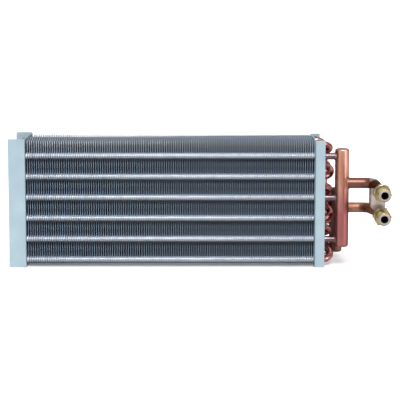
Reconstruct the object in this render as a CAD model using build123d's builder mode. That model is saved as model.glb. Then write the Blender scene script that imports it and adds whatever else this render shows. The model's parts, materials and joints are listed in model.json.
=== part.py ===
"""Evaporator coil: a finned block of staggered tubes between two channel end plates, with its pipework."""

import math
import os

from build123d import *

# Tube pattern
rows = 4
tubes_per_row = 6
tube_pitch = 25.4
row_pitch = 22.0
tube_od = 7.94
tube_wall = 0.5
first_tube_height = 7.6
first_row_depth = 12.0
last_row_margin = 12.0

# Fins
fin_length = 349.0
fin_pitch = 2.75
fin_thickness = 0.2
fin_inset = 1.0
fin_bottom_land = 0.4
fin_top_land = 2.8
collar_wall = 0.2
collar_gap = 0.1

# End plates
plate_thickness = 1.5
plate_bend_radius = 2.0
left_flange_width = 20.5
left_plate_above_tubes = 9.1
right_flange_width = 12.1
right_plate_above_tubes = 7.3
plate_corner = 1.2
plate_hole_gap = 0.1

# Bends and belled tube ends
hairpin_stand_off = 3.5
bend_stand_off = 8.0
bell_start = 2.0
bell_gap = 0.05
bell_insert = 5.0

# Suction header and its line
suction_header_od = 17.0
suction_header_wall = 1.0
suction_header_offset = 33.3
suction_header_bottom = 24.2
suction_header_top = 143.9
suction_line_height = 102.0

# Liquid header, its feed tubes and its line
liquid_header_od = 15.88
liquid_header_wall = 0.9
liquid_header_offset = 32.0
liquid_header_bottom = 6.5
liquid_header_top = 87.5
liquid_line_drop = 12.2
header_end_rounding = 2.5
feed_bend_radius = 11.0
feed_entry_bend_radius = 9.0
feed_drop_offset = 18.0
middle_feed_offset = 15.0
feed_back_step = 8.0
feed_back_drop = 22.5
upper_feed_entry = 66.0
middle_feed_gap = 0.3
middle_feed_straight = 2.0

# Lines out to the connections
line_od = 12.7
line_wall = 0.8
line_bend_radius = 12.7
line_offset = 71.7
line_reach = 104.0
connection_spacing = 27.3
liquid_level_run = 20.0
joint_gap = 0.05
header_joint_gap = 0.1

# Threaded connections
thread_od = 15.88
thread_length = 15.0
thread_chamfer = 1.0
thread_core_od = 13.4
thread_neck_od = 13.6
thread_neck_length = 2.5
nose_length = 2.6
nose_tip_od = 10.2
connection_bore = 8.7
hex_across_flats = 19.0
hex_length = 9.0
hex_chamfer = 0.8
cup_od = 16.2
cup_length = 9.0
cup_depth = 8.0
suction_hex_turn = 12.0

# Strap between the two lines
strap_thickness = 2.0
strap_width = 18.8
strap_left = 13.2
strap_behind_connection = 4.0
strap_rise = 3.0
strap_lap = 4.0
strap_corner = 6.5

# Depth of the plates over all the tube rows, and of the fins between them
plate_depth = first_row_depth + (rows - 1) * row_pitch + last_row_margin
fin_depth = plate_depth - 2 * fin_inset

# Overall frame, centred on the whole coil
hex_corner = hex_across_flats / math.sqrt(3)
overall_width = left_flange_width + fin_length + line_offset + hex_corner
overall_depth = line_reach + plate_depth
x_left = -overall_width / 2 + left_flange_width
x_right = x_left + fin_length
x_line = x_right + line_offset
y_front = -overall_depth / 2 + line_reach
y_back = y_front + plate_depth
y_connection = y_front - line_reach

tube_radius = tube_od / 2
collar_inner = tube_radius + joint_gap
collar_outer = collar_inner + collar_wall
bell_inner = tube_radius + bell_gap
bell_outer = bell_inner + tube_wall
circuits = tubes_per_row // 2
liquid_connection_height = suction_line_height - connection_spacing
liquid_line_height = liquid_connection_height - liquid_line_drop


def row_depth(row):
    """Depth of a tube row, counted from the front, starting at 0."""
    return y_front + first_row_depth + row * row_pitch


def tube_height(row, index):
    """Height of a tube, counted from the bottom. Every second row sits half a pitch higher."""
    return first_tube_height + index * tube_pitch + (row % 2) * tube_pitch / 2


def tube_place(row, index):
    """Depth and height of one tube."""
    return row_depth(row), tube_height(row, index)


def upper_index(circuit):
    """The higher tube that a circuit uses in each row. Circuit 0 is the highest."""
    return tubes_per_row - 1 - 2 * circuit


def bent_tube(path, od, wall):
    """A hollow tube along a path of straight runs and arcs."""
    with BuildPart() as tube:
        with BuildSketch(Plane(origin=path @ 0, z_dir=path % 0)):
            Circle(od / 2)
            Circle(od / 2 - wall, mode=Mode.SUBTRACT)
        sweep(path=path)
    return tube.part


def u_path(x_end, x_turn, start, end):
    """A U in line with X: two straight legs and the half circle that joins their ends at x_turn."""
    outward = 1 if x_turn > x_end else -1
    radius = math.dist(start, end) / 2
    middle = Vector(
        x_turn + outward * radius, (start[0] + end[0]) / 2, (start[1] + end[1]) / 2
    )
    with BuildLine() as path:
        Line((x_end, *start), (x_turn, *start))
        ThreePointArc((x_turn, *start), middle, (x_turn, *end))
        Line((x_turn, *end), (x_end, *end))
    return path.line


def save(part, name):
    """Label a finished piece and write it out."""
    part.label = name
    export_step(part, f"parts/{name}.step")


os.makedirs("parts", exist_ok=True)
all_tubes = [(row, index) for row in range(rows) for index in range(tubes_per_row)]


# End plates: channels with their flanges turned away from the fins
def end_plate(x_inner, outward, flange, height):
    """One end plate with a hole for every tube."""
    x_web = x_inner + outward * plate_thickness / 2
    x_edge = x_inner + outward * flange
    y_middle = (y_front + y_back) / 2
    with BuildPart() as plate:
        with BuildSketch():
            with BuildLine():
                FilletPolyline(
                    (x_edge, y_front + plate_thickness / 2),
                    (x_web, y_front + plate_thickness / 2),
                    (x_web, y_back - plate_thickness / 2),
                    (x_edge, y_back - plate_thickness / 2),
                    radius=plate_bend_radius,
                )
                offset(amount=plate_thickness / 2, kind=Kind.ARC)
            make_face()
            with Locations((x_edge + outward * plate_thickness, y_middle)):
                Rectangle(2 * plate_thickness, 2 * plate_depth, mode=Mode.SUBTRACT)
        extrude(amount=height)
        with BuildSketch(Plane.YZ.offset(x_web)):
            with Locations(*[tube_place(row, index) for row, index in all_tubes]):
                Circle(tube_radius + plate_hole_gap)
        extrude(amount=plate_thickness, both=True, mode=Mode.SUBTRACT)
        corners = plate.edges().filter_by(Axis.Y).group_by(Axis.X)[0 if outward < 0 else -1]
        fillet(corners, plate_corner)
    return plate.part


highest_tube = tube_height(rows - 1, tubes_per_row - 1)
left_plate_height = highest_tube + left_plate_above_tubes
right_plate_height = highest_tube + right_plate_above_tubes
save(end_plate(x_left, -1, left_flange_width, left_plate_height), "left_end_plate")
save(end_plate(x_right, 1, right_flange_width, right_plate_height), "right_end_plate")


# Fins: one thin plate repeated along the coil, open along each row so that the collars pass through
fin_count = int((fin_length - fin_thickness) // fin_pitch) + 1
fin_stack = (fin_count - 1) * fin_pitch
slot_width = 2 * (collar_outer + collar_gap)
slot_height = (tubes_per_row - 1) * tube_pitch + slot_width
fin_y = y_front + fin_inset + fin_depth / 2
fin_bottom = tube_height(0, 0) - slot_width / 2 - fin_bottom_land
fin_top = highest_tube + slot_width / 2 + fin_top_land

with BuildPart() as one_fin:
    x_first = (x_left + x_right) / 2 - fin_stack / 2 - fin_thickness / 2
    with BuildSketch(Plane.YZ.offset(x_first)):
        with Locations((fin_y, (fin_bottom + fin_top) / 2)):
            Rectangle(fin_depth, fin_top - fin_bottom)
        for row in range(rows):
            middle_height = (tube_height(row, 0) + tube_height(row, tubes_per_row - 1)) / 2
            with Locations((row_depth(row), middle_height)):
                Rectangle(slot_width, slot_height, mode=Mode.SUBTRACT)
    extrude(amount=fin_thickness)

fins = Compound(
    children=[one_fin.part.solid().moved(Pos(n * fin_pitch, 0, 0)) for n in range(fin_count)]
)
save(fins, "fins")


# Fin collars: drawn up out of the fins, edge to edge, so that each tube wears a sleeve
with BuildPart() as fin_collars:
    with BuildSketch(Plane.YZ.offset(x_left)):
        with Locations(*[tube_place(row, index) for row, index in all_tubes]):
            Circle(collar_outer)
            Circle(collar_inner, mode=Mode.SUBTRACT)
    extrude(amount=fin_length)
save(fin_collars.part, "fin_collars")


# Hairpin tubes: two legs through the block, bent round at the left and belled at the right
x_bell = x_right + bell_start
x_mouth = x_right + bend_stand_off
x_insert = x_mouth - bell_insert
x_hairpin = x_left - hairpin_stand_off


def hairpin(row, lower, upper):
    """One hairpin tube."""
    legs = [tube_place(row, lower), tube_place(row, upper)]
    with BuildPart() as tube:
        add(bent_tube(u_path(x_bell, x_hairpin, *legs), tube_od, tube_wall))
        with BuildSketch(Plane.YZ.offset(x_bell)):
            with Locations(*legs):
                Circle(bell_outer)
                Circle(tube_radius - tube_wall, mode=Mode.SUBTRACT)
        extrude(amount=-tube_wall)
        with BuildSketch(Plane.YZ.offset(x_bell)):
            with Locations(*legs):
                Circle(bell_outer)
                Circle(bell_inner, mode=Mode.SUBTRACT)
        extrude(amount=x_mouth - x_bell)
    return tube.part


for circuit in range(circuits):
    for row in range(rows):
        upper = upper_index(circuit)
        save(hairpin(row, upper - 1, upper), f"hairpin_{circuit + 1}_{row + 1}")


# Return bends: each joins the end of one hairpin to the start of the next
def return_bend(start, end):
    """One U bend with its legs inside the bells."""
    return bent_tube(u_path(x_insert, x_mouth, start, end), tube_od, tube_wall)


for circuit in range(circuits):
    for row in range(rows - 1):
        index = upper_index(circuit) - (1 if row % 2 == 0 else 0)
        bend = return_bend(tube_place(row, index), tube_place(row + 1, index))
        save(bend, f"return_bend_{circuit + 1}_{row + 1}")


# Suction header: an upright tube with spun ends that gathers the front row
def upright_header(x, y, bottom, top, od, wall):
    """A closed upright tube."""
    with BuildPart() as header:
        for inset, mode in ((0, Mode.ADD), (wall, Mode.SUBTRACT)):
            width = od / 2 - inset
            with BuildSketch(Plane.XZ.offset(-y)) as profile:
                with Locations((x + width / 2, (bottom + top) / 2)):
                    Rectangle(width, top - bottom - 2 * inset)
                fillet(profile.vertices().group_by(Axis.X)[-1], header_end_rounding - inset)
            revolve(axis=Axis((x, y, 0), (0, 0, 1)), mode=mode)
    return header.part


x_suction = x_right + suction_header_offset
y_suction = row_depth(0)
suction_inlets = [tube_height(0, upper_index(circuit)) for circuit in range(circuits)]

with BuildPart() as suction_header:
    add(
        upright_header(
            x_suction,
            y_suction,
            suction_header_bottom,
            suction_header_top,
            suction_header_od,
            suction_header_wall,
        )
    )
    with BuildSketch(Plane.YZ.offset(x_suction)):
        with Locations(*[(y_suction, height) for height in suction_inlets]):
            Circle(tube_radius + header_joint_gap)
    extrude(amount=-suction_header_od, mode=Mode.SUBTRACT)
    with BuildSketch(Plane.YZ.offset(x_suction)):
        with Locations((y_suction, suction_line_height)):
            Circle(line_od / 2 + header_joint_gap)
    extrude(amount=suction_header_od, mode=Mode.SUBTRACT)
save(suction_header.part, "suction_header")

x_stub_end = x_suction - suction_header_od / 2 + 2 * suction_header_wall
for circuit, height in enumerate(suction_inlets):
    with BuildPart() as stub:
        with BuildSketch(Plane.YZ.offset(x_insert)):
            with Locations((y_suction, height)):
                Circle(tube_radius)
                Circle(tube_radius - tube_wall, mode=Mode.SUBTRACT)
        extrude(amount=x_stub_end - x_insert)
    save(stub.part, f"suction_stub_{circuit + 1}")


# Liquid header: fed from the back row, behind the suction header
x_liquid = x_right + liquid_header_offset
y_liquid = row_depth(rows - 1)
feed_starts = [tube_place(rows - 1, upper_index(circuit)) for circuit in range(circuits)]
x_drop = x_right + feed_drop_offset
y_drop = y_liquid + feed_back_step
feed_turn = Vector(x_liquid - x_drop, y_liquid - y_drop, 0).normalized()
liquid_joint_radius = liquid_header_od / 2 - 2 * liquid_header_wall
middle_feed_entry = tube_height(rows - 1, upper_index(1) - 1) + tube_od + middle_feed_gap

with BuildPart() as liquid_header:
    add(
        upright_header(
            x_liquid,
            y_liquid,
            liquid_header_bottom,
            liquid_header_top,
            liquid_header_od,
            liquid_header_wall,
        )
    )
    with BuildSketch(Plane.YZ.offset(x_liquid)):
        with Locations((y_liquid, middle_feed_entry), feed_starts[2]):
            Circle(tube_radius + header_joint_gap)
    extrude(amount=-liquid_header_od, mode=Mode.SUBTRACT)
    with BuildSketch(Plane(origin=(x_liquid, y_liquid, upper_feed_entry), z_dir=-feed_turn)):
        Circle(tube_radius + header_joint_gap)
    extrude(amount=liquid_header_od, mode=Mode.SUBTRACT)
    with BuildSketch(Plane.YZ.offset(x_liquid)):
        with Locations((y_liquid, liquid_line_height)):
            Circle(line_od / 2 + header_joint_gap)
    extrude(amount=liquid_header_od, mode=Mode.SUBTRACT)
save(liquid_header.part, "liquid_header")

# Feed tubes: from the back row down to the liquid header
with BuildLine() as upper_feed_path:
    FilletPolyline(
        (x_insert, *feed_starts[0]),
        (x_drop, *feed_starts[0]),
        (x_drop, y_drop, feed_starts[0][1] - feed_back_drop),
        (x_drop, y_drop, upper_feed_entry),
        Vector(x_liquid, y_liquid, upper_feed_entry) - feed_turn * liquid_joint_radius,
        radius=[feed_bend_radius, feed_bend_radius, feed_entry_bend_radius],
    )
save(bent_tube(upper_feed_path.line, tube_od, tube_wall), "feed_tube_1")

middle_feed_drop = feed_starts[1][1] - middle_feed_entry
with BuildLine() as middle_feed_path:
    FilletPolyline(
        (x_insert, *feed_starts[1]),
        (x_right + middle_feed_offset, *feed_starts[1]),
        (x_right + middle_feed_offset, y_liquid, middle_feed_entry),
        (x_liquid - liquid_joint_radius, y_liquid, middle_feed_entry),
        radius=(middle_feed_drop - middle_feed_straight) / 2,
    )
save(bent_tube(middle_feed_path.line, tube_od, tube_wall), "feed_tube_2")

with BuildLine() as lower_feed_path:
    Line((x_insert, *feed_starts[2]), (x_liquid - liquid_joint_radius, *feed_starts[2]))
save(bent_tube(lower_feed_path.line, tube_od, tube_wall), "feed_tube_3")


# Lines: each leaves its header to the right, turns forward and ends inside its connection
connection_length = nose_length + thread_length + thread_neck_length + hex_length + cup_length
y_line_end = y_connection + connection_length - cup_depth
y_strap = y_connection + connection_length + strap_behind_connection
y_level = y_strap + strap_thickness + liquid_level_run
suction_joint_radius = suction_header_od / 2 - 2 * suction_header_wall

with BuildLine() as suction_line_path:
    FilletPolyline(
        (x_suction + suction_joint_radius, y_suction, suction_line_height),
        (x_line, y_suction, suction_line_height),
        (x_line, y_line_end, suction_line_height),
        radius=line_bend_radius,
    )
save(bent_tube(suction_line_path.line, line_od, line_wall), "suction_line")

with BuildLine() as liquid_line_path:
    FilletPolyline(
        (x_liquid + liquid_joint_radius, y_liquid, liquid_line_height),
        (x_line, y_liquid, liquid_line_height),
        (x_line, y_level, liquid_connection_height),
        (x_line, y_line_end, liquid_connection_height),
        radius=line_bend_radius,
    )
save(bent_tube(liquid_line_path.line, line_od, line_wall), "liquid_line")


# Connections: turned brass ends with a cone nose, a thread, a hexagon and a cup for the line
def connection(height, turn):
    """One connection, its nose towards the front."""
    nose = Vector(x_line, y_connection, height)
    neck_start = nose_length + thread_length
    hex_start = neck_start + thread_neck_length
    cup_start = hex_start + hex_length
    hex_plane = Plane(origin=nose + Vector(0, hex_start, 0), x_dir=(1, 0, 0), z_dir=(0, 1, 0))
    with BuildPart() as body:
        with BuildSketch(hex_plane):
            RegularPolygon(hex_across_flats / 2, 6, major_radius=False, rotation=turn)
        extrude(amount=hex_length)
        with BuildSketch(Plane.XY.move(Location(nose))) as turned_hex:
            with Locations((hex_corner / 2, hex_start + hex_length / 2)):
                Rectangle(hex_corner, hex_length)
            chamfer(turned_hex.vertices().group_by(Axis.X)[-1], hex_chamfer, 2 * hex_chamfer)
        revolve(axis=Axis(nose, (0, 1, 0)), mode=Mode.INTERSECT)
        with BuildSketch(Plane.XY.move(Location(nose))):
            with BuildLine():
                Polyline(
                    (0, 0),
                    (nose_tip_od / 2, 0),
                    (thread_core_od / 2, (thread_core_od - nose_tip_od) / 2),
                    (thread_core_od / 2, nose_length),
                    (thread_od / 2 - thread_chamfer, nose_length),
                    (thread_od / 2, nose_length + thread_chamfer),
                    (thread_od / 2, neck_start),
                    (thread_neck_od / 2, neck_start),
                    (thread_neck_od / 2, hex_start),
                    (cup_od / 2, hex_start),
                    (cup_od / 2, cup_start + cup_length),
                    (0, cup_start + cup_length),
                    close=True,
                )
            make_face()
        revolve(axis=Axis(nose, (0, 1, 0)))
        with BuildSketch(Plane(origin=nose, x_dir=(1, 0, 0), z_dir=(0, 1, 0))):
            Circle(connection_bore / 2)
        extrude(amount=connection_length, mode=Mode.SUBTRACT)
        with BuildSketch(hex_plane.offset(hex_length + cup_length - cup_depth)):
            Circle(line_od / 2 + joint_gap)
        extrude(amount=cup_depth, mode=Mode.SUBTRACT)
    return body.part


save(connection(suction_line_height, suction_hex_turn), "suction_connection")
save(connection(liquid_connection_height, 0), "liquid_connection")


# Strap: a plate brazed between the two lines, hollowed to sit on them
with BuildPart() as line_strap:
    strap_bottom = liquid_connection_height + strap_lap
    strap_top = suction_line_height + strap_rise
    with BuildSketch(Plane.XZ.offset(-y_strap)) as strap_outline:
        with Locations((x_line - strap_left + strap_width / 2, (strap_bottom + strap_top) / 2)):
            Rectangle(strap_width, strap_top - strap_bottom)
        corner = strap_outline.vertices().group_by(Axis.X)[0].sort_by(Axis.Y)[0]
        chamfer(corner, strap_corner)
        with Locations((x_line, suction_line_height), (x_line, liquid_connection_height)):
            Circle(line_od / 2 + joint_gap, mode=Mode.SUBTRACT)
    extrude(amount=-strap_thickness)
save(line_strap.part, "line_strap")
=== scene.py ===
import json
import math

import bmesh
import bpy
from mathutils import Matrix, Vector


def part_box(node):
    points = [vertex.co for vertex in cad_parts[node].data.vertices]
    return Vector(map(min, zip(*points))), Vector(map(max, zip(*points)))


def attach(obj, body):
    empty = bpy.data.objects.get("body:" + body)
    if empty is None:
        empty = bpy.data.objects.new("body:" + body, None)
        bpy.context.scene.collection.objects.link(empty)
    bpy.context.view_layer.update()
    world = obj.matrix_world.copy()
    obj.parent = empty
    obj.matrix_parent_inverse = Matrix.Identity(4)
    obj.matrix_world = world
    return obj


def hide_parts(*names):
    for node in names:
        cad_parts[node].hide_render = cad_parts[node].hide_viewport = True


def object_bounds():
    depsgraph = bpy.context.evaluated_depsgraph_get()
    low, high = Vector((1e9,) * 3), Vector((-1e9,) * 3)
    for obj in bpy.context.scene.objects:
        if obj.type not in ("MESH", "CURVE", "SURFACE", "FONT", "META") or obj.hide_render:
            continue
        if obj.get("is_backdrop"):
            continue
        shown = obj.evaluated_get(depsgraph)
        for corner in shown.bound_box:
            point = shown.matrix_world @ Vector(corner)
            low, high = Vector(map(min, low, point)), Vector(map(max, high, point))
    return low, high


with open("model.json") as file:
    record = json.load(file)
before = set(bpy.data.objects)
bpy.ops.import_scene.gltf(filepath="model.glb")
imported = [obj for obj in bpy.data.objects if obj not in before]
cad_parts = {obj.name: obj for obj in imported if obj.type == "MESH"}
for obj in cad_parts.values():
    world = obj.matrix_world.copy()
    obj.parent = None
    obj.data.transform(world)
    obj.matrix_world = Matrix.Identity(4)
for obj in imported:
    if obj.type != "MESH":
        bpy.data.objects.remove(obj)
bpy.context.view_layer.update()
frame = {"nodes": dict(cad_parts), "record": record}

nodes = frame["nodes"]
mm = 0.001
inch = 25.4   # mm
tubeRows = range(1, 5)
circuits = range(1, 4)


# sizes read off the frame, in metres
finLow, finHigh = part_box("fins")
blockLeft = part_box("left_end_plate")[1].x
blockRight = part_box("right_end_plate")[0].x
stubLow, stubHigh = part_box("suction_stub_1")
tubeRadius = (stubHigh.z - stubLow.z) / 2


def tubePlaces(row):
    # centres of one row's tubes as (y, z), from the highest down, read off the belled hairpins
    places = []
    for circuit in circuits:
        low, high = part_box(f"hairpin_{circuit}_{row}")
        bell = (high.y - low.y) / 2
        y = (high.y + low.y) / 2
        places += [(y, high.z - bell), (y, low.z + bell)]
    return places


allTubes = [place for row in tubeRows for place in tubePlaces(row)]
tubePitch = tubePlaces(1)[0][1] - tubePlaces(1)[1][1]
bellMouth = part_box("hairpin_1_1")[1].x


# colours and nodes
def linearColour(hexText):
    channels = [int(hexText[i:i + 2], 16) / 255 for i in (1, 3, 5)]
    return [c / 12.92 if c <= 0.04045 else ((c + 0.055) / 1.055) ** 2.4 for c in channels] + [1.0]


def addNode(tree, kind, links=None, **settings):
    # links holds sockets to join or plain values to set, by input name or number
    node = tree.nodes.new(kind)
    for name, value in settings.items():
        setattr(node, name, value)
    for socket, value in (links or {}).items():
        if isinstance(value, bpy.types.NodeSocket):
            tree.links.new(value, node.inputs[socket])
        else:
            node.inputs[socket].default_value = value
    return node


def startMaterial(name, metallic, roughness):
    material = bpy.data.materials.new(name)
    material.use_nodes = True
    tree = material.node_tree
    tree.nodes.clear()
    shader = addNode(tree, "ShaderNodeBsdfPrincipled", {"Metallic": metallic, "Roughness": roughness})
    addNode(tree, "ShaderNodeOutputMaterial", {"Surface": shader.outputs[0]})
    place = addNode(tree, "ShaderNodeTexCoord").outputs["Object"]
    return material, tree, shader, place


def noiseValue(tree, place, sizeMm, stretch=(1, 1, 1), detail=3.0):
    # soft blotches about sizeMm across, drawn out along the axes where stretch is under 1
    mapped = addNode(tree, "ShaderNodeMapping", {"Vector": place, "Scale": stretch})
    scale = 1 / (sizeMm * mm)
    return addNode(
        tree, "ShaderNodeTexNoise", {"Vector": mapped.outputs[0], "Scale": scale, "Detail": detail}
    ).outputs["Fac"]


def ramp(tree, factor, stops):
    # stops are (place, value), the value a hex colour or a grey from 0 to 1
    node = addNode(tree, "ShaderNodeValToRGB", {"Fac": factor})
    elements = node.color_ramp.elements
    while len(elements) < len(stops):
        elements.new(0.5)
    for element, (place, value) in zip(elements, stops):
        element.position = place
        element.color = linearColour(value) if isinstance(value, str) else (value, value, value, 1)
    return node.outputs["Color"]


def mixColour(tree, factor, first, second, blend="MIX"):
    # sockets 6, 7 and output 2 are the colour ones
    inputs = {0: factor, 6: first, 7: second}
    return addNode(tree, "ShaderNodeMix", inputs, data_type="RGBA", blend_type=blend).outputs[2]


def bumpFrom(tree, shader, height, strength, distanceMm):
    bump = addNode(
        tree, "ShaderNodeBump", {"Height": height, "Strength": strength, "Distance": distanceMm * mm}
    )
    tree.links.new(bump.outputs[0], shader.inputs["Normal"])


def alongAxis(tree, place, axis, start, end):
    # 0 at start, 1 at end, both places in metres along one axis of the part
    value = addNode(tree, "ShaderNodeSeparateXYZ", {0: place}).outputs[axis]
    return addNode(
        tree, "ShaderNodeMapRange", {"Value": value, "From Min": start, "From Max": end}
    ).outputs[0]


# painted shade and light on the fins: darker under each tube, where its shadow falls, and brighter just
# above it, where light comes off the collar
tubeShadeStops = [
    (0.0, 0.5),
    (0.22, 1.0),
    (0.3, 0.85),
    (0.42, 0.5),
    (0.56, 0.7),
    (0.72, 0.76),
    (0.8, 0.28),
    (1.0, 0.25),
]


def repeatShare(tree, place, start, spacing):
    # 0 to 1 going up from one level to the next, again and again
    height = addNode(tree, "ShaderNodeSeparateXYZ", {0: place}).outputs["Z"]
    raised = addNode(tree, "ShaderNodeMath", {0: height, 1: start}, operation="SUBTRACT")
    turns = addNode(tree, "ShaderNodeMath", {0: raised.outputs[0], 1: spacing}, operation="DIVIDE")
    return addNode(tree, "ShaderNodeMath", {0: turns.outputs[0]}, operation="FRACT").outputs[0]


def paintTubeShade(tree, place, colour):
    # painted shade under each tube and painted light above it; the front half follows the first row of
    # tubes and the back half the last
    front, back = (
        ramp(tree, repeatShare(tree, place, tubePlaces(row)[-1][1], tubePitch), tubeShadeStops)
        for row in (tubeRows[0], tubeRows[-1])
    )
    depth = alongAxis(tree, place, "Y", finLow.y, finHigh.y)
    isBack = addNode(tree, "ShaderNodeMath", {0: depth, 1: 0.5}, operation="GREATER_THAN")
    return mixColour(tree, 1.0, colour, mixColour(tree, isBack.outputs[0], front, back), "MULTIPLY")


def paintTopLight(tree, place, colour, topLight, depthMm):
    # painted light: the top of the fins is drawn brighter, as if lit from above
    share = alongAxis(tree, place, "Z", finHigh.z - depthMm * mm, finHigh.z)
    return mixColour(tree, share, colour, linearColour(topLight))


# rolled aluminium fin stock: thin sheet in patches dulled by handling, painted a dark blue-grey as painted
# shade of the narrow gaps between the fins
finStockLook = {
    "bright": "#6284B0",
    "dull": "#466088",
    "topLight": "#B4C2D2",
    "topLightDepth": 20.0,   # mm down from the top
    "patch": 9.0,       # mm across
    "metallic": 0.75,
    "roughness": 0.36,
}


def finStock():
    look = finStockLook
    material, tree, shader, place = startMaterial("rolledFinStock", look["metallic"], look["roughness"])
    patches = noiseValue(tree, place, look["patch"], (0.3, 1, 1))
    colour = ramp(tree, patches, [(0.3, look["dull"]), (0.7, look["bright"])])
    # painted shade under each tube and painted light above it, then painted light along the top of the
    # fins
    colour = paintTopLight(tree, place, paintTubeShade(tree, place, colour), look["topLight"], look["topLightDepth"])
    tree.links.new(colour, shader.inputs["Base Color"])
    return material


# sheared fin edges: the same stock where it was cut, a little torn, so it scatters more light, and painted
# far lighter than the sheet, painted light where the edges face the lamps
edgeLook = {
    "torn": "#BAD4FA",
    "smooth": "#D8ECFF",
    "topLight": "#F4F8FF",
    "topLightDepth": 16.0,   # mm down from the top
    "tear": 1.6,        # mm across
    "metallic": 0.2,
    "roughness": 0.55,
}


def shearedEdge():
    look = edgeLook
    material, tree, shader, place = startMaterial("shearedFinEdge", look["metallic"], look["roughness"])
    tearing = noiseValue(tree, place, look["tear"])
    colour = ramp(tree, tearing, [(0.3, look["torn"]), (0.7, look["smooth"])])
    # painted shade under each tube and painted light above it, then painted light along the top of the
    # edges
    colour = paintTopLight(tree, place, paintTubeShade(tree, place, colour), look["topLight"], look["topLightDepth"])
    tree.links.new(colour, shader.inputs["Base Color"])
    return material


# drawn fin collars: the same stock stretched bright round the tubes, with a seam at every fin
collarLook = {
    "bright": "#EDF2F8",
    "dull": "#DFE7F0",
    "seam": "#6E7986",
    "seamStops": [(0.0, 0.0), (0.16, 1.0), (0.95, 1.0), (1.0, 0.0)],
    "undersideShadeStops": [(0.18, 0.08), (0.32, 0.3), (0.42, 1.0)],   # painted shade: the underside of each tube is darker
    "innerRowShadeStops": [(0.08, 1.0), (0.25, 0.2), (0.75, 0.2), (0.92, 1.0)],   # painted shade: the inner rows, deep in the coil, are darker
    "patch": 5.0,   # mm across
    "metallic": 0.3,
    "roughness": 0.4,
}


def drawnCollar(pitch, start):
    look = collarLook
    material, tree, shader, place = startMaterial("drawnFinCollar", look["metallic"], look["roughness"])
    along = addNode(tree, "ShaderNodeSeparateXYZ", {0: place}).outputs["X"]
    shifted = addNode(tree, "ShaderNodeMath", {0: along, 1: start}, operation="SUBTRACT")
    turns = addNode(tree, "ShaderNodeMath", {0: shifted.outputs[0], 1: pitch}, operation="DIVIDE")
    share = addNode(tree, "ShaderNodeMath", {0: turns.outputs[0]}, operation="FRACT")
    seam = ramp(tree, share.outputs[0], look["seamStops"])
    patches = noiseValue(tree, place, look["patch"], (0.4, 1, 1))
    sheet = ramp(tree, patches, [(0.35, look["dull"]), (0.65, look["bright"])])
    halfPitch = tubePitch / 2
    around = repeatShare(tree, place, tubePlaces(1)[-1][1] - halfPitch / 2, halfPitch)
    under = ramp(tree, around, look["undersideShadeStops"])
    # painted shade under each tube, multiplied into the sheet
    sheet = mixColour(tree, 1.0, sheet, under, "MULTIPLY")
    across = alongAxis(tree, place, "Y", tubePlaces(tubeRows[0])[0][0], tubePlaces(tubeRows[-1])[0][0])
    inner = ramp(tree, across, look["innerRowShadeStops"])
    # painted shade on the inner rows, multiplied into the sheet
    sheet = mixColour(tree, 1.0, sheet, inner, "MULTIPLY")
    seamed = mixColour(tree, seam, linearColour(look["seam"]), sheet)
    tree.links.new(seamed, shader.inputs["Base Color"])
    bumpFrom(tree, shader, seam, 0.6, 0.1)
    return material


# coated aluminium sheet of the end plates: smooth, pale blue-grey, faint rolling lines
plateLook = {
    "light": "#9AADB6",
    "shade": "#8EA1AC",
    "cloud": 30.0,   # mm across
    "grain": 0.9,    # mm across
    "metallic": 0.2,
    "roughness": 0.45,
}


def coatedSheet():
    look = plateLook
    name = "coatedAluminiumSheet"
    material, tree, shader, place = startMaterial(name, look["metallic"], look["roughness"])
    clouds = noiseValue(tree, place, look["cloud"])
    colour = ramp(tree, clouds, [(0.3, look["shade"]), (0.7, look["light"])])
    tree.links.new(colour, shader.inputs["Base Color"])
    grain = noiseValue(tree, place, look["grain"], (1, 1, 0.05))
    bumpFrom(tree, shader, grain, 0.08, 0.05)
    return material


# drawn copper tube: warm and glossy, with heat stains from brazing and long faint draw marks
copperPattern = {"cloud": 14.0, "blot": 8.0, "mark": 1.2}   # mm across
copperLooks = {
    "drawnCopperTube": {
        "clean": "#CC8C86", "dull": "#8C5C5E", "stain": "#5C3A44", "rim": "#6A4A44",
        "roughness": 0.2,
    },
    "brazeTintedStub": {
        "clean": "#7E6E74", "dull": "#625256", "stain": "#4E3A40", "rim": "#6A5A5A",
        "roughness": 0.3,
    },
    "brazedCopperHeader": {
        "clean": "#E4B0A2", "dull": "#C68C74", "stain": "#A0686C", "rim": "#6A3E3A",
        "roughness": 0.28,
    },
    "tarnishedCopperLine": {
        "clean": "#886156", "dull": "#785248", "stain": "#60443C", "rim": "#5A3830",
        "roughness": 0.36,
    },
    "cleanedCopperLine": {
        "clean": "#B88A76", "dull": "#A0745E", "stain": "#785040", "rim": "#5A3830",
        "roughness": 0.48,
    },
    "oxidisedCopperHeader": {
        "clean": "#98786E", "dull": "#74544E", "stain": "#523A3A", "rim": "#4A3434",
        "roughness": 0.34,
    },
}


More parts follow.
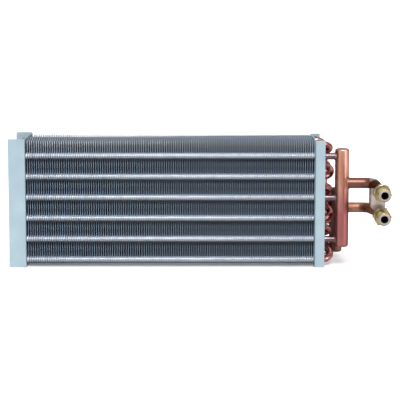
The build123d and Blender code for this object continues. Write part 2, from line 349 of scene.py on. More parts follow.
def drawnCopper(name, stretch, fade=None, joints=()):
    # fade is (axis, start, end, colour): copper turns to that colour towards end, with a ragged edge
    # joints are places where a torch left its mark, as (place, radius in mm, colour)
    look = copperLooks[name]
    material, tree, shader, place = startMaterial(name, 1.0, look["roughness"])
    clouds = noiseValue(tree, place, copperPattern["cloud"], stretch)
    base = ramp(tree, clouds, [(0.35, look["dull"]), (0.62, look["clean"])])
    blots = noiseValue(tree, place, copperPattern["blot"], stretch, 5.0)
    stains = ramp(tree, blots, [(0.52, 0.0), (0.72, 0.8)])
    colour = mixColour(tree, stains, base, linearColour(look["stain"]))
    if fade:
        axis, start, end, fadeColour = fade
        share = alongAxis(tree, place, axis, start, end)
        ragged = addNode(tree, "ShaderNodeMath", {0: blots, 1: share}, operation="ADD")
        mask = ramp(tree, ragged.outputs[0], [(0.6, 0.0), (0.95, 0.85)])
        colour = mixColour(tree, mask, colour, linearColour(fadeColour))
    rim = linearColour(look["rim"])
    for joint, radius, jointColour in joints:
        away = addNode(tree, "ShaderNodeVectorMath", {0: place, 1: joint}, operation="DISTANCE")
        share = addNode(
            tree, "ShaderNodeMath", {0: away.outputs["Value"], 1: radius * mm}, operation="DIVIDE"
        )
        ragged = addNode(tree, "ShaderNodeMath", {0: share.outputs[0], 1: blots}, operation="ADD")
        mask = ramp(tree, ragged.outputs[0], [(0.9, 0.75), (1.45, 0.0)])
        colour = mixColour(tree, mask, colour, linearColour(jointColour))
        rim = mixColour(tree, mask, rim, linearColour(jointColour))
    tree.links.new(colour, shader.inputs["Base Color"])
    if joints:
        tree.links.new(rim, shader.inputs["Specular Tint"])
    else:
        shader.inputs["Specular Tint"].default_value = rim
    rough = addNode(
        tree,
        "ShaderNodeMapRange",
        {"Value": blots, "To Min": look["roughness"] * 0.7, "To Max": look["roughness"] * 1.7},
    )
    tree.links.new(rough.outputs[0], shader.inputs["Roughness"])
    marks = noiseValue(tree, place, copperPattern["mark"], stretch)
    bumpFrom(tree, shader, marks, 0.12, 0.05)
    return material


# turned brass of the connections: yellow metal, slightly oily, fine turning rings about the axis
brassLook = {"bright": "#C4B684", "dull": "#A09266", "cloud": 6.0, "roughness": 0.27}
turning = {"ring": 0.6, "stretch": (0.05, 1, 0.05)}   # mm between turning marks, drawn out round the axis


def turnedBrass():
    look = brassLook
    material, tree, shader, place = startMaterial("turnedBrass", 1.0, look["roughness"])
    clouds = noiseValue(tree, place, look["cloud"])
    colour = ramp(tree, clouds, [(0.35, look["dull"]), (0.65, look["bright"])])
    tree.links.new(colour, shader.inputs["Base Color"])
    rings = noiseValue(tree, place, turning["ring"], turning["stretch"])
    bumpFrom(tree, shader, rings, 0.15, 0.04)
    return material


# machined seat of the nose: the same brass cut bright and pale, where the flare presses
seatLook = {"bright": "#B4A8A4", "dull": "#988C8C", "metallic": 0.5, "roughness": 0.4}


def machinedSeat():
    look = seatLook
    material, tree, shader, place = startMaterial("machinedSeat", look["metallic"], look["roughness"])
    rings = noiseValue(tree, place, turning["ring"], turning["stretch"])
    colour = ramp(tree, rings, [(0.3, look["dull"]), (0.7, look["bright"])])
    tree.links.new(colour, shader.inputs["Base Color"])
    bumpFrom(tree, shader, rings, 0.15, 0.04)
    return material


# brazing alloy: a frozen bead of silver-copper, dull and slightly lumpy
alloyLook = {"bright": "#CFA58A", "dull": "#8E5B49", "cloud": 2.5, "roughness": 0.42}


def brazedBead():
    look = alloyLook
    material, tree, shader, place = startMaterial("brazingAlloy", 1.0, look["roughness"])
    clouds = noiseValue(tree, place, look["cloud"])
    colour = ramp(tree, clouds, [(0.35, look["dull"]), (0.65, look["bright"])])
    tree.links.new(colour, shader.inputs["Base Color"])
    bumpFrom(tree, shader, clouds, 0.5, 0.3)
    return material


# zinc plated strap: cold grey metal, darkened along its left edge with painted shade, as on a rounded rim
strapLook = {
    "bright": "#F0E2DC",
    "dull": "#CCBCBE",
    "edgeShade": "#4E3C40",
    "edgeShadeWidth": 2.0,   # mm
    "cloud": 7.0,        # mm across
    "roughness": 0.36,
}


def platedStrap(edge):
    look = strapLook
    material, tree, shader, place = startMaterial("zincPlatedStrap", 1.0, look["roughness"])
    clouds = noiseValue(tree, place, look["cloud"])
    colour = ramp(tree, clouds, [(0.35, look["dull"]), (0.65, look["bright"])])
    # painted shade: darker towards the left edge
    share = alongAxis(tree, place, "X", edge, edge + 2 * look["edgeShadeWidth"] * mm)
    edgeShade = ramp(tree, share, [(0.1, 1.0), (0.8, 0.0)])
    edgeShaded = mixColour(tree, edgeShade, colour, linearColour(look["edgeShade"]))
    tree.links.new(edgeShaded, shader.inputs["Base Color"])
    return material


# burnt inside of the bores: flux and oxide, black to the eye
boreLook = {"light": "#17131A", "dark": "#0A080B", "cloud": 3.0, "roughness": 0.85}


def burntBore():
    look = boreLook
    material, tree, shader, place = startMaterial("oxidisedBore", 0.0, look["roughness"])
    clouds = noiseValue(tree, place, look["cloud"])
    colour = ramp(tree, clouds, [(0.3, look["dark"]), (0.7, look["light"])])
    tree.links.new(colour, shader.inputs["Base Color"])
    return material


# studio floor: a pale matt sheet, faintly lit from below like a light table, so shadows stay soft
floorLook = {
    "light": "#F6F6F6",
    "shade": "#F3F4F5",
    "mirroredGrey": "#B4B0B0",   # painted reflection: the darker grey that metal mirrors in place of the pale sheet
    "lamp": "#FFFFFF",
    "lampStrength": 0.2,
    "cloud": 900.0,       # mm across
    "roughness": 0.9,
    "reach": 60.0,        # m, from the middle to each edge
}


def paleFloor():
    look = floorLook
    material, tree, shader, place = startMaterial("paleStudioFloor", 0.0, look["roughness"])
    clouds = noiseValue(tree, place, look["cloud"])
    sheet = ramp(tree, clouds, [(0.2, look["shade"]), (0.8, look["light"])])
    # painted reflection: glossy rays see the floor darker than the camera does
    mirrored = addNode(tree, "ShaderNodeLightPath").outputs["Is Glossy Ray"]
    colour = mixColour(tree, mirrored, sheet, linearColour(look["mirroredGrey"]))
    tree.links.new(colour, shader.inputs["Base Color"])
    shader.inputs["Emission Color"].default_value = linearColour(look["lamp"])
    shader.inputs["Emission Strength"].default_value = look["lampStrength"]
    return material


def addPiece(name, mesh, replaced=None):
    piece = bpy.data.objects.new(name, mesh)
    bpy.context.scene.collection.objects.link(piece)
    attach(piece, "root")
    if replaced:
        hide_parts(replaced)


# growing a mesh with geometry nodes: the tree's named inputs are set, and the result is made plain
def startTree(name, inputs):
    tree = bpy.data.node_groups.new(name, "GeometryNodeTree")
    tree.interface.new_socket("Geometry", in_out="INPUT", socket_type="NodeSocketGeometry")
    for label, kind in inputs.items():
        tree.interface.new_socket(label, in_out="INPUT", socket_type=kind)
    tree.interface.new_socket("Geometry", in_out="OUTPUT", socket_type="NodeSocketGeometry")
    return tree, addNode(tree, "NodeGroupInput").outputs


def grow(sourceMesh, tree, values):
    source = bpy.data.objects.new("source", sourceMesh)
    bpy.context.scene.collection.objects.link(source)
    modifier = source.modifiers.new("grow", "NODES")
    modifier.node_group = tree
    for item in tree.interface.items_tree:
        if item.item_type == "SOCKET" and item.in_out == "INPUT" and item.name in values:
            modifier[item.identifier] = values[item.name]
    graph = bpy.context.evaluated_depsgraph_get()
    mesh = bpy.data.meshes.new_from_object(
        source.evaluated_get(graph), preserve_all_data_layers=True, depsgraph=graph
    )
    source.modifiers.remove(modifier)
    bpy.data.objects.remove(source)
    return mesh


# fins: one cut and rippled plate, repeated along the block
finSettings = {
    "count": 127,
    "ripplesPerPitch": 4,   # ripples of the front edge between two tubes
    "ripple": 0.18,         # mm, half the wave
    # mm behind the front edge, share of the wave
    "rippleLines": [(0.0, 1.0), (2.6, 1.0), (5.6, 0.35)],
    "stepsPerRipple": 4,
    "holeSides": 10,
    "holeGap": 0.02,        # mm round the collar
    "thickness": 0.26,      # mm, with the burr of the cut edge
    "wander": 0.06,         # mm, uneven spacing
    "lean": 0.1,            # degrees, uneven standing
    "fold": 1.15,           # mm, each fin is folded to and fro from row to row
    "foldLand": 5.2,        # mm, flat on both sides of each row of tubes
    "backRipple": 0.6,      # share of the wave at the back edge
    "inset": 0.45,          # mm, the first and last fins keep clear of the end plates
    "dents": 0.3,           # mm, fins pushed aside together
    "dentSize": 16.0,       # mm
    "seed": 4,
}


def cutFin(settings, collarRadius):
    rippleLength = tubePitch / settings["ripplesPerPitch"]
    steps = round((finHigh.z - finLow.z) / rippleLength * settings["stepsPerRipple"])
    fold = settings["fold"] * mm
    folds = [(tubePlaces(row)[0][0], fold if row % 2 else -fold) for row in tubeRows]
    land = settings["foldLand"] * mm
    creases = [(y + side * land, offset) for y, offset in folds for side in (-1, 1)][1:]
    bm = bmesh.new()
    x = finLow.x + settings["inset"] * mm

    def upright(y, offset, share, every=1):
        # one line of points from the bottom of the fin to its top
        points = []
        for step in range(0, steps + 1, every):
            z = finLow.z + (finHigh.z - finLow.z) * step / steps
            wave = share * settings["ripple"] * mm * math.sin(2 * math.pi * (z - finLow.z) / rippleLength)
            points.append(bm.verts.new((x + offset + wave, y, z)))
        return points

    lines = [upright(finLow.y + back * mm, fold, share) for back, share in settings["rippleLines"]]
    for first, second in zip(lines, lines[1:]):
        for n in range(steps):
            bm.faces.new((first[n], second[n], second[n + 1], first[n + 1]))
    back = upright(finHigh.y, -fold, settings["backRipple"], 2)
    top = [bm.verts.new((x + offset, y, finHigh.z)) for y, offset in creases]
    bottom = [bm.verts.new((x + offset, y, finLow.z)) for y, offset in creases]
    loops = [lines[-1] + top + back[::-1] + bottom[::-1]]
    radius = collarRadius + settings["holeGap"] * mm
    angles = [2 * math.pi * n / settings["holeSides"] for n in range(settings["holeSides"])]
    for row, (y, offset) in zip(tubeRows, folds):
        for _, z in tubePlaces(row):
            ring = [(x + offset, y + radius * math.cos(a), z + radius * math.sin(a)) for a in angles]
            loops.append([bm.verts.new(point) for point in ring])
    pairs = [(loop[n - 1], loop[n]) for loop in loops for n in range(len(loop))] + list(zip(bottom, top))
    edges = [bm.edges.get(pair) or bm.edges.new(pair) for pair in pairs]
    bmesh.ops.triangle_fill(bm, edges=edges, use_beauty=True, normal=(1, 0, 0))
    bmesh.ops.recalc_face_normals(bm, faces=bm.faces[:])
    extruded = bmesh.ops.extrude_face_region(bm, geom=bm.faces[:], use_keep_orig=True)
    moved = [item for item in extruded["geom"] if isinstance(item, bmesh.types.BMVert)]
    bmesh.ops.translate(bm, verts=moved, vec=(settings["thickness"] * mm, 0, 0))
    bmesh.ops.recalc_face_normals(bm, faces=bm.faces[:])
    mesh = bpy.data.meshes.new("cutFin")
    bm.to_mesh(mesh)
    bm.free()
    return mesh


def finBlockTree():
    tree, given = startTree(
        "finBlock",
        {
            "Count": "NodeSocketInt",
            "Spacing": "NodeSocketFloat",
            "Wander": "NodeSocketFloat",
            "Lean": "NodeSocketFloat",
            "Dents": "NodeSocketFloat",
            "Dent Scale": "NodeSocketFloat",
            "Seed": "NodeSocketInt",
            "Material": "NodeSocketMaterial",
            "Edge Material": "NodeSocketMaterial",
        },
    )
    spacing = addNode(tree, "ShaderNodeCombineXYZ", {"X": given["Spacing"]})
    line = addNode(
        tree,
        "GeometryNodeMeshLine",
        {"Count": given["Count"], "Offset": spacing.outputs[0]},
    )
    least = addNode(tree, "ShaderNodeMath", {0: given["Wander"], 1: -1.0}, operation="MULTIPLY")
    shift = addNode(
        tree,
        "FunctionNodeRandomValue",
        {"Min": least.outputs[0], "Max": given["Wander"], "Seed": given["Seed"]},
        data_type="FLOAT",
    )
    shiftVector = addNode(tree, "ShaderNodeCombineXYZ", {"X": shift.outputs["Value"]})
    placed = addNode(
        tree, "GeometryNodeSetPosition", {"Geometry": line.outputs[0], "Offset": shiftVector.outputs[0]}
    )
    leanLeast = addNode(tree, "ShaderNodeMath", {0: given["Lean"], 1: -1.0}, operation="MULTIPLY")
    tilt = addNode(
        tree,
        "FunctionNodeRandomValue",
        {"Min": leanLeast.outputs[0], "Max": given["Lean"], "Seed": given["Seed"]},
        data_type="FLOAT",
    )
    turn = addNode(tree, "ShaderNodeCombineXYZ", {"Z": tilt.outputs["Value"]})
    instances = addNode(
        tree,
        "GeometryNodeInstanceOnPoints",
        {"Points": placed.outputs[0], "Instance": given["Geometry"], "Rotation": turn.outputs[0]},
    )
    real = addNode(tree, "GeometryNodeRealizeInstances", {"Geometry": instances.outputs[0]})
    place = addNode(tree, "GeometryNodeInputPosition")
    noise = addNode(
        tree,
        "ShaderNodeTexNoise",
        {"Vector": place.outputs[0], "Scale": given["Dent Scale"], "Detail": 1.0},
    )
    centred = addNode(tree, "ShaderNodeMath", {0: noise.outputs["Fac"], 1: 0.5}, operation="SUBTRACT")
    push = addNode(
        tree, "ShaderNodeMath", {0: centred.outputs[0], 1: given["Dents"]}, operation="MULTIPLY"
    )
    pushVector = addNode(tree, "ShaderNodeCombineXYZ", {"X": push.outputs[0]})
    dented = addNode(
        tree, "GeometryNodeSetPosition", {"Geometry": real.outputs[0], "Offset": pushVector.outputs[0]}
    )
    sheet = addNode(
        tree, "GeometryNodeSetMaterial", {"Geometry": dented.outputs[0], "Material": given["Material"]}
    )
    normal = addNode(tree, "GeometryNodeInputNormal")
    facing = addNode(tree, "ShaderNodeSeparateXYZ", {0: normal.outputs[0]})
    sideways = addNode(tree, "ShaderNodeMath", {0: facing.outputs["X"]}, operation="ABSOLUTE")
    isEdge = addNode(tree, "ShaderNodeMath", {0: sideways.outputs[0], 1: 0.6}, operation="LESS_THAN")
    finished = addNode(
        tree,
        "GeometryNodeSetMaterial",
        {
            "Geometry": sheet.outputs[0],
            "Selection": isEdge.outputs[0],
            "Material": given["Edge Material"],
        },
    )
    addNode(tree, "NodeGroupOutput", {0: finished.outputs[0]})
    return tree


finLengthways = finHigh.x - finLow.x - (finSettings["thickness"] + 2 * finSettings["inset"]) * mm
finPitch = finLengthways / (finSettings["count"] - 1)
collarRadius = tubePlaces(1)[-1][1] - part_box("fin_collars")[0].z
finMaterial = finStock()
edgeMaterial = shearedEdge()
finTree = finBlockTree()
half = finSettings["count"] // 2
for name, first, count in (("finsLeft", 0, half), ("finsRight", half, finSettings["count"] - half)):
    oneFin = cutFin(finSettings, collarRadius)
    oneFin.transform(Matrix.Translation((first * finPitch, 0, 0)))
    block = grow(
        oneFin,
        finTree,
        {
            "Count": count,
            "Spacing": finPitch,
            "Wander": finSettings["wander"] * mm,
            "Lean": math.radians(finSettings["lean"]),
            "Dents": 2 * finSettings["dents"] * mm,
            "Dent Scale": 1 / (finSettings["dentSize"] * mm),
            "Seed": finSettings["seed"] + first,
            "Material": finMaterial,
            "Edge Material": edgeMaterial,
        },
    )
    addPiece(name, block, "fins")
    block.calc_loop_triangles()
    print(name, count, "fins,", len(block.loop_triangles), "triangles")


# collars: one long bright sleeve for every tube, drawn along a straight route
sleeveSides = 24


def pipeTree():
    tree, given = startTree(
        "drawnPipe",
        {"Radius": "NodeSocketFloat", "Sides": "NodeSocketInt", "Material": "NodeSocketMaterial"},
    )
    route = addNode(tree, "GeometryNodeMeshToCurve", {"Mesh": given["Geometry"]})
    profile = addNode(
        tree, "GeometryNodeCurvePrimitiveCircle", {"Resolution": given["Sides"], "Radius": given["Radius"]}
    )
    pipe = addNode(
        tree,
        "GeometryNodeCurveToMesh",
        {"Curve": route.outputs[0], "Profile Curve": profile.outputs[0], "Fill Caps": True},
    )
    real = addNode(tree, "GeometryNodeRealizeInstances", {"Geometry": pipe.outputs[0]})
    finished = addNode(
        tree, "GeometryNodeSetMaterial", {"Geometry": real.outputs[0], "Material": given["Material"]}
    )
    addNode(tree, "NodeGroupOutput", {0: finished.outputs[0]})
    return tree


def routeMesh(routes, closed=False):
    mesh = bpy.data.meshes.new("route")
    points, edges = [], []
    for route in routes:
        start = len(points)
        points += [tuple(p) for p in route]
        edges += [(start + n, start + n + 1) for n in range(len(route) - 1)]
        if closed:
            edges.append((len(points) - 1, start))
    mesh.from_pydata(points, edges, [])
    return mesh


def smoothShade(mesh, angle=40):
    mesh.shade_smooth()
    mesh.set_sharp_from_angle(angle=math.radians(angle))


collarMaterial = drawnCollar(finPitch, finLow.x + finSettings["inset"] * mm)
sleeves = grow(
    routeMesh([[(blockLeft, y, z), (blockRight, y, z)] for y, z in allTubes]),
    pipeTree(),
    {"Radius": collarRadius, "Sides": sleeveSides, "Material": collarMaterial},
)
smoothShade(sleeves)
addPiece("collarSleeves", sleeves, "fin_collars")
print("collars:", len(sleeves.polygons), "faces")


# finishes of the nodes that keep their CAD shape, with heat tints where they were brazed
heatTints = {
    "stub": (12, "#A896A0"),      # mm round the joint
    "elbow": (19, "#D2C8C4"),
    "heatMark": (6, "#E88A58"),
    "reddened": (30, "#A46266"),   # mm above the suction header's middle
}
plainStretch = (1, 1, 1)
headerStretch = (1, 1, 0.25)   # blotches drawn out upwards
lineStretch = (0.4, 0.4, 1)    # and along the two lines


def middleOf(node):
    low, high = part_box(node)
    return (low + high) / 2


suctionMiddle = middleOf("suction_header")
suctionLow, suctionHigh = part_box("suction_header")
suctionRadius = (suctionHigh.y - suctionLow.y) / 2
stubJoints = []
for circuit in circuits:
    stub = middleOf(f"suction_stub_{circuit}")
    stubJoints.append((suctionMiddle.x - suctionRadius, stub.y, stub.z))
lineLow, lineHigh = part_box("suction_line")
lineRadius = (lineHigh.z - lineLow.z) / 2
lineJoint = (suctionMiddle.x + suctionRadius, suctionMiddle.y, (lineLow.z + lineHigh.z) / 2)
elbow = (lineHigh.x - lineRadius, suctionMiddle.y - 2 * lineRadius, lineHigh.z)
heatMark = (lineHigh.x - 2 * lineRadius, suctionMiddle.y - 1.3 * lineRadius, (lineLow.z + lineHigh.z) / 2)
reddenedFrom, red = heatTints["reddened"]
reddened = ("Z", suctionMiddle.z + reddenedFrom * mm, suctionLow.z, red)
tubeCopper = drawnCopper("drawnCopperTube", plainStretch)
stubCopper = drawnCopper("brazeTintedStub", plainStretch)
headerTints = [(place, *heatTints["stub"]) for place in stubJoints + [lineJoint]]
headerCopper = drawnCopper("brazedCopperHeader", headerStretch, reddened, headerTints)
liquidCopper = drawnCopper("oxidisedCopperHeader", headerStretch)
lineTints = [(elbow, *heatTints["elbow"]), (heatMark, *heatTints["heatMark"])]
lineCopper = drawnCopper("tarnishedCopperLine", lineStretch, None, lineTints)
liquidLineCopper = drawnCopper("cleanedCopperLine", lineStretch)
sheetMaterial = coatedSheet()
brassMaterial = turnedBrass()
strapMaterial = platedStrap(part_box("line_strap")[0].x)
finishes = {
    "plate": sheetMaterial,
    "fin": finMaterial,
    "collar": collarMaterial,
    "tube": tubeCopper,
    "header": headerCopper,
    "line": lineCopper,
    "connection": brassMaterial,
    "strap": strapMaterial,
}
ownFinishes = {f"suction_stub_{circuit}": stubCopper for circuit in circuits}
ownFinishes["liquid_header"] = liquidCopper
ownFinishes["liquid_line"] = liquidLineCopper
for part in frame["record"]["subparts"]:
    mesh = nodes[part["node"]].data
    mesh.materials.clear()
    mesh.materials.append(ownFinishes.get(part["node"], finishes[part["material_slot"]]))
print("finishes on", len(nodes), "nodes")


# braze beads: a lumpy ring of frozen alloy where two pieces are joined
beadSettings = {
    "steps": 32,
    "profileSides": 8,
    "bell": 0.55,     # mm, half the bead's thickness
    "header": 0.95,   # mm
    "lumps": 0.3,     # share of it
    "lumpsPerMetre": 420.0,
    "seed": 7,
}


def beadTree():
    tree, given = startTree(
        "brazeBead",
        {
            "Radius": "NodeSocketFloat",
            "Lumps": "NodeSocketFloat",
            "Seed": "NodeSocketFloat",
            "Material": "NodeSocketMaterial",
        },
    )
    ring = addNode(tree, "GeometryNodeMeshToCurve", {"Mesh": given["Geometry"]})
    place = addNode(tree, "GeometryNodeInputPosition")
    noise = addNode(
        tree,
        "ShaderNodeTexNoise",
        {
            "Vector": place.outputs[0],
            "W": given["Seed"],
            "Scale": beadSettings["lumpsPerMetre"],
            "Detail": 1.0,
        },
        noise_dimensions="4D",
    )
    least = addNode(tree, "ShaderNodeMath", {0: 1.0, 1: given["Lumps"]}, operation="SUBTRACT")
    most = addNode(tree, "ShaderNodeMath", {0: 1.0, 1: given["Lumps"]}, operation="ADD")
    lumpy = addNode(
        tree,
        "ShaderNodeMapRange",
        {
            "Value": noise.outputs["Fac"],
            "From Min": 0.3,
            "From Max": 0.7,
            "To Min": least.outputs[0],
            "To Max": most.outputs[0],
        },
    )
    size = addNode(tree, "ShaderNodeMath", {0: lumpy.outputs[0], 1: given["Radius"]}, operation="MULTIPLY")
    profile = addNode(
        tree,
        "GeometryNodeCurvePrimitiveCircle",
        {"Resolution": beadSettings["profileSides"], "Radius": 1.0},
    )
    bead = addNode(
        tree,
        "GeometryNodeCurveToMesh",
        {"Curve": ring.outputs[0], "Profile Curve": profile.outputs[0], "Scale": size.outputs[0]},
    )
    real = addNode(tree, "GeometryNodeRealizeInstances", {"Geometry": bead.outputs[0]})
    finished = addNode(
        tree, "GeometryNodeSetMaterial", {"Geometry": real.outputs[0], "Material": given["Material"]}
    )
    addNode(tree, "NodeGroupOutput", {0: finished.outputs[0]})
    return tree


def joinRing(centre, radius, headerRadius=None, side=-1):
    # ring about a tube along X, bent over an upright header of headerRadius where one is given
    points = []
    for n in range(beadSettings["steps"]):
        angle = 2 * math.pi * n / beadSettings["steps"]
        point = Vector(centre)
        point.y += radius * math.cos(angle)
        point.z += radius * math.sin(angle)
        if headerRadius:
            offset = point.y - centre[1]
            point.x += side * math.sqrt(headerRadius ** 2 - offset ** 2)
        points.append(point)
    return points


brazing = brazedBead()
bellRings = [joinRing((bellMouth, y, z), tubeRadius) for y, z in allTubes]
headerRings = [joinRing((suctionMiddle.x, y, z), tubeRadius, suctionRadius) for _, y, z in stubJoints]
headerRings.append(joinRing((suctionMiddle.x, *lineJoint[1:]), lineRadius, suctionRadius, 1))
liquidMiddle = middleOf("liquid_header")
liquidLow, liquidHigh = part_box("liquid_header")
liquidRadius = (liquidHigh.y - liquidLow.y) / 2
lowestFeed = middleOf("feed_tube_3")
headerRings.append(joinRing((liquidMiddle.x, *lowestFeed[1:]), tubeRadius, liquidRadius))
beads = beadTree()
for name, rings, size, slot in (
    ("bellBeads", bellRings, beadSettings["bell"], "tube"),
    ("headerBeads", headerRings, beadSettings["header"], "header"),
):
    mesh = grow(
        routeMesh(rings, True),
        beads,
        {
            "Radius": size * mm,
            "Lumps": beadSettings["lumps"],
            "Seed": float(beadSettings["seed"]),
            "Material": brazing,
        },
    )
    smoothShade(mesh)
    addPiece(name, mesh)
    print(name, len(mesh.polygons), "faces")


# threads: a helical ridge round the front of each connection
threadSettings = {
    "perInch": 18,
    "ridge": 0.72,       # mm high
    "length": 13.4,      # mm
    "start": 3.4,        # mm behind the nose
    "steps": 40,         # points a turn
    "od": 15.88,         # mm
    "runOut": 0.05,      # share of the length at both ends
    "runOutSize": 0.25,  # share of the ridge where it starts
    "profileSides": 4,
}


def threadTree():
    tree, given = startTree(
        "cutThread",
        {
            "Turns": "NodeSocketFloat",
            "Steps": "NodeSocketInt",
            "Radius": "NodeSocketFloat",
            "Length": "NodeSocketFloat",
            "Ridge": "NodeSocketFloat",
            "Place": "NodeSocketVector",
            "Material": "NodeSocketMaterial",
        },
    )
    spiral = addNode(
        tree,
        "GeometryNodeCurveSpiral",
        {
            "Resolution": given["Steps"],
            "Rotations": given["Turns"],
            "Start Radius": given["Radius"],
            "End Radius": given["Radius"],
            "Height": given["Length"],
        },
    )
    upright = addNode(tree, "GeometryNodeSetCurveNormal", {"Curve": spiral.outputs[0]}, mode="Z_UP")
    share = addNode(tree, "GeometryNodeSplineParameter").outputs["Factor"]
    left = addNode(tree, "ShaderNodeMath", {0: 1.0, 1: share}, operation="SUBTRACT")
    nearest = addNode(tree, "ShaderNodeMath", {0: share, 1: left.outputs[0]}, operation="MINIMUM")
    taper = addNode(
        tree,
        "ShaderNodeMapRange",
        {
            "Value": nearest.outputs[0],
            "From Max": threadSettings["runOut"],
            "To Min": threadSettings["runOutSize"],
        },
    )
    size = addNode(tree, "ShaderNodeMath", {0: taper.outputs[0], 1: given["Ridge"]}, operation="MULTIPLY")
    profile = addNode(
        tree,
        "GeometryNodeCurvePrimitiveCircle",
        {"Resolution": threadSettings["profileSides"], "Radius": 1.0},
    )
    ridge = addNode(
        tree,
        "GeometryNodeCurveToMesh",
        {
            "Curve": upright.outputs[0],
            "Profile Curve": profile.outputs[0],
            "Scale": size.outputs[0],
            "Fill Caps": True,
        },
    )
    turned = addNode(
        tree,
        "GeometryNodeTransform",
        {
            "Geometry": ridge.outputs[0],
            "Rotation": (math.radians(-90), 0, 0),
            "Translation": given["Place"],
        },
    )
    real = addNode(tree, "GeometryNodeRealizeInstances", {"Geometry": turned.outputs[0]})
    finished = addNode(
        tree, "GeometryNodeSetMaterial", {"Geometry": real.outputs[0], "Material": given["Material"]}
    )
    addNode(tree, "NodeGroupOutput", {0: finished.outputs[0]})
    return tree


# connections: a turned brass body, round but for its hexagon, with a through bore and a brazing cup
connectionSides = 72
hexTurns = {"suction_connection": 18, "liquid_connection": 30}   # degrees
hexSteps = 3
hexOvershoot = 1.1   # the chamfer's cone ends a little past the corners
boreMaterial = burntBore()
seatMaterial = machinedSeat()
connectionSettings = {   # mm
    "noseTip": 10.2,
    "core": 13.4,
    "root": 14.5,
    "neck": 13.6,
    "nose": 2.6,
    "thread": 15.0,
    "relief": 2.5,
    "flats": 19.0,
    "hexagon": 9.0,
    "cup": 16.2,
    "cupLength": 9.0,
    "bore": 8.7,
    "chamfer": 0.8,
    "edge": 0.35,        # rounding at the bore and the cup
    "noseEdge": 0.1,
    "rootStep": 0.4,     # slope at both ends of the thread
    "hexFace": 0.5,      # land in front of the hexagon, in from its flats
    "hexInset": 0.1,     # start of the chamfer, in from its flats
    "boreStop": 1.0,     # the bore's mesh ends this far before the cup's end
}


def connectionMesh(name, nose, turn):
    s = {key: value * mm for key, value in connectionSettings.items()}
    apothem = s["flats"] / 2
    corner = apothem / math.cos(math.pi / 6)
    threadEnd = s["nose"] + s["thread"]
    hexStart = threadEnd + s["relief"]
    hexEnd = hexStart + s["hexagon"]
    end = hexEnd + s["cupLength"]
    edge = s["edge"]
    # stations from the bore's depth out over the nose and back to the cup: (place, radius, is hexagon)
    stations = [
        (end - s["boreStop"], s["bore"] / 2, False),
        (edge, s["bore"] / 2, False),
        (0, s["bore"] / 2 + edge, False),
        (0, s["noseTip"] / 2 - s["noseEdge"], False),
        (s["noseEdge"], s["noseTip"] / 2, False),
        ((s["core"] - s["noseTip"]) / 2, s["core"] / 2, False),
        (s["nose"], s["core"] / 2, False),
        (s["nose"] + s["rootStep"], s["root"] / 2, False),
        (threadEnd - s["rootStep"], s["root"] / 2, False),
        (threadEnd, s["neck"] / 2, False),
        (hexStart, s["neck"] / 2, False),
        (hexStart, apothem - s["hexFace"], False),
    ]
    chamfer = []
    for n in range(hexSteps + 1):
        cone = apothem - s["hexInset"] + (corner - apothem) * n / hexSteps * hexOvershoot
        chamfer.append((s["chamfer"] * n / hexSteps, cone))
    stations += [(hexStart + depth, cone, True) for depth, cone in chamfer]
    stations += [(hexEnd - depth, cone, True) for depth, cone in chamfer[::-1]]
    stations += [
        (hexEnd, s["cup"] / 2, False),
        (end - edge, s["cup"] / 2, False),
        (end, s["cup"] / 2 - edge, False),
        (end, s["bore"] / 2 + edge, False),
    ]
    bm = bmesh.new()
    rings = []
    for place, radius, isHexagon in stations:
        ring = []
        for n in range(connectionSides):
            angle = 2 * math.pi * n / connectionSides
            r = radius
            if isHexagon:
                offFlat = (angle - turn + math.pi / 6) % (math.pi / 3) - math.pi / 6
                r = min(radius, apothem / math.cos(offFlat))
            ring.append(bm.verts.new(nose + Vector((r * math.cos(angle), place, r * math.sin(angle)))))
        rings.append(ring)
    for first, second in zip(rings, rings[1:] + rings[:1]):
        for n in range(connectionSides):
            bm.faces.new((first[n - 1], first[n], second[n], second[n - 1]))
    bmesh.ops.recalc_face_normals(bm, faces=bm.faces[:])
    mesh = bpy.data.meshes.new(name)
    bm.to_mesh(mesh)
    bm.free()
    for material in (brassMaterial, boreMaterial, seatMaterial):
        mesh.materials.append(material)
    boreLimit = s["bore"] / 2 + 0.1 * mm
    seatEnd = (s["core"] - s["noseTip"]) / 2
    for face in mesh.polygons:
        out = face.center - nose
        if math.hypot(out.x, out.z) < boreLimit:
            face.material_index = 1
        elif out.y < seatEnd:
            face.material_index = 2
    smoothShade(mesh, 30)
    return mesh


def joinMeshes(name, first, second):
    bm = bmesh.new()
    bm.from_mesh(first)
    bm.from_mesh(second)
    mesh = bpy.data.meshes.new(name)
    for material in first.materials:
        mesh.materials.append(material)
    bm.to_mesh(mesh)
    bm.free()
    return mesh


thread = threadTree()
for node, degrees in hexTurns.items():
    low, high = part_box(node)
    nose = Vector(((low.x + high.x) / 2, low.y, (low.z + high.z) / 2))
    turns = threadSettings["length"] / inch * threadSettings["perInch"]
    ridge = grow(
        bpy.data.meshes.new("nothing"),
        thread,
        {
            "Turns": turns,
            "Steps": threadSettings["steps"],
            "Radius": (threadSettings["od"] / 2 - threadSettings["ridge"]) * mm,
            "Length": threadSettings["length"] * mm,
            "Ridge": threadSettings["ridge"] * mm,
            "Place": nose + Vector((0, threadSettings["start"] * mm, 0)),
            "Material": brassMaterial,
        },
    )
    smoothShade(ridge, 30)
    turned = connectionMesh(node, nose, math.radians(degrees))
    body = joinMeshes(node + ".brass", turned, ridge)
    addPiece(node + ".brass", body, node)
    print(node, len(body.polygons), "faces")


# studio: pale floor, soft boxes, camera at the photo's angle
cameraSettings = {
    "place": (4.8, -1808.2, 340.2),   # mm
    "pitch": 8.07,                    # degrees down
    "focalPixels": 1520.0,
    "framePixels": 400,
    "sensor": 36.0,                   # mm
    "farthest": 200.0,                # m
}
softBoxes = {
    "frontLeft": {"place": (-1.5, -1.9, 0.75), "aim": (0, 0, 0.08), "size": (0.9, 1.5), "power": 8},
    "frontRight": {"place": (1.8, -1.2, 0.6), "aim": (0.15, 0, 0.08), "size": (0.5, 1.2), "power": 14},
}
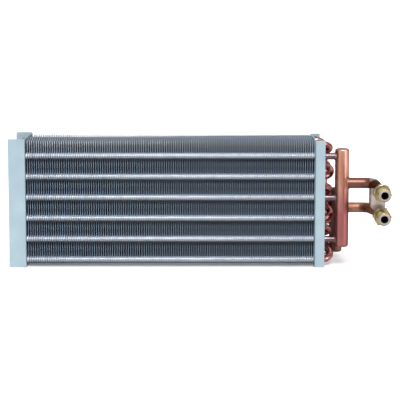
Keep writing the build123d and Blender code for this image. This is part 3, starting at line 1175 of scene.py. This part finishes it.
# degrees, from behind the camera
keySun = {"azimuth": 4, "elevation": 46, "spread": 22, "strength": 2.3}


def addLight(name, light):
    data = bpy.data.lights.new(name, "AREA")
    data.shape = "RECTANGLE"
    data.size, data.size_y = light["size"]
    data.energy = light["power"]
    lamp = bpy.data.objects.new(name, data)
    lamp.location = light["place"]
    aim = Vector(light["aim"]) - Vector(light["place"])
    lamp.rotation_euler = aim.to_track_quat("-Z", "Y").to_euler()
    bpy.context.scene.collection.objects.link(lamp)


for name, light in softBoxes.items():
    addLight(name, light)
sunData = bpy.data.lights.new("keySun", "SUN")
sunData.energy = keySun["strength"]
sunData.angle = math.radians(keySun["spread"])
sun = bpy.data.objects.new("keySun", sunData)
sun.rotation_euler = (math.radians(90 - keySun["elevation"]), 0, math.radians(keySun["azimuth"]))
bpy.context.scene.collection.objects.link(sun)

# studio air: dim at the horizon and bright overhead, as under a ceiling of lamps
airStops = [(0.0, 0.3), (0.35, 0.55), (0.7, 1.0)]
airStrength = 0.95
world = bpy.data.worlds.new("studioAir")
bpy.context.scene.world = world
world.use_nodes = True
air = world.node_tree
direction = addNode(air, "ShaderNodeTexCoord").outputs["Generated"]
height = addNode(air, "ShaderNodeSeparateXYZ", {0: direction}).outputs["Z"]
air.links.new(ramp(air, height, airStops), air.nodes["Background"].inputs["Color"])
air.nodes["Background"].inputs["Strength"].default_value = airStrength

floorMesh = bpy.data.meshes.new("floor")
reach = floorLook["reach"]
corners = [(-reach, -reach, 0), (reach, -reach, 0), (reach, reach, 0), (-reach, reach, 0)]
floorMesh.from_pydata(corners, [], [(0, 1, 2, 3)])
floorMesh.materials.append(paleFloor())
floor = bpy.data.objects.new("floor", floorMesh)
bpy.context.scene.collection.objects.link(floor)
floor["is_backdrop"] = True

camera = bpy.data.objects.new("camera", bpy.data.cameras.new("camera"))
camera.data.sensor_width = cameraSettings["sensor"]
frameWidths = cameraSettings["focalPixels"] / cameraSettings["framePixels"]
camera.data.lens = frameWidths * cameraSettings["sensor"]
camera.data.clip_end = cameraSettings["farthest"]
camera.location = Vector(cameraSettings["place"]) * mm
camera.rotation_euler = (math.radians(90 - cameraSettings["pitch"]), 0, 0)
bpy.context.scene.collection.objects.link(camera)
bpy.context.scene.camera = camera
bpy.context.scene.view_settings.view_transform = "Standard"
print("studio ready")

low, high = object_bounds()
